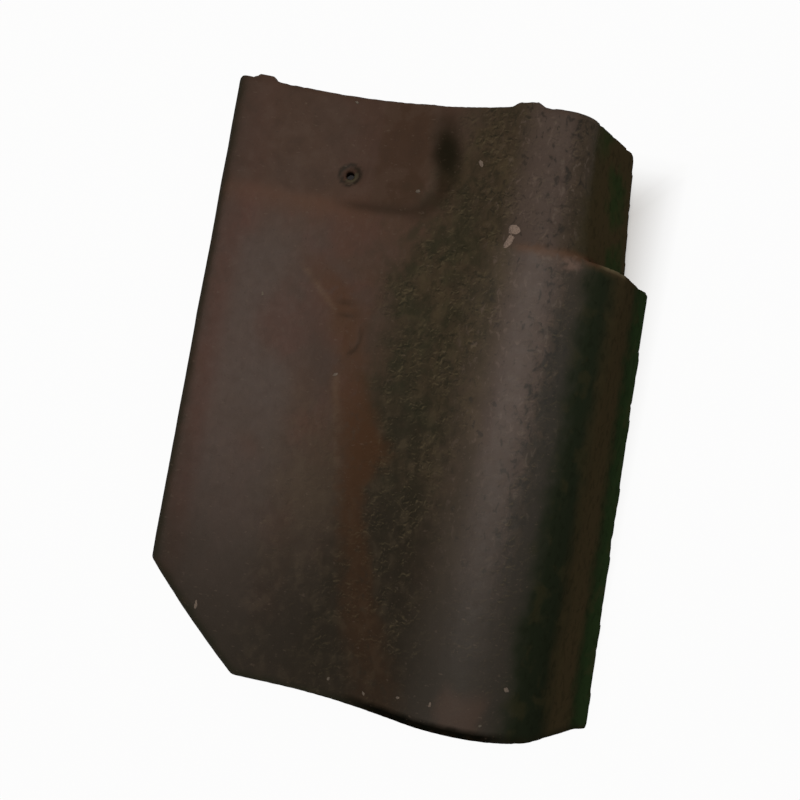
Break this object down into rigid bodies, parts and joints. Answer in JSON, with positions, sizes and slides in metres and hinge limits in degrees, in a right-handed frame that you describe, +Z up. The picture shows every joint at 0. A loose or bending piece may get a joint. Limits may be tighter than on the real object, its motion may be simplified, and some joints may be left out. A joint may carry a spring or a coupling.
{
  "type": "verge tile",
  "caption": "Fired-clay verge tile with a shallow pan, a roll whose outer flank drops past the pan as a flange, a set-in head for the lap, a nail hole and batten nibs.",
  "frame": {"origin": "on the nail hole's axis, level with the lowest line of the pan's top face", "axes": "+X from the pan's plain edge towards the flange, +Y from tail to head, +Z up out of the weathered face"},
  "size_m": [0.2991, 0.3793, 0.0886],
  "materials": {
    "clay": "satin"
  },
  "bodies": {
    "root": {"verge_tile": "clay"}
  },
  "joints": []
}
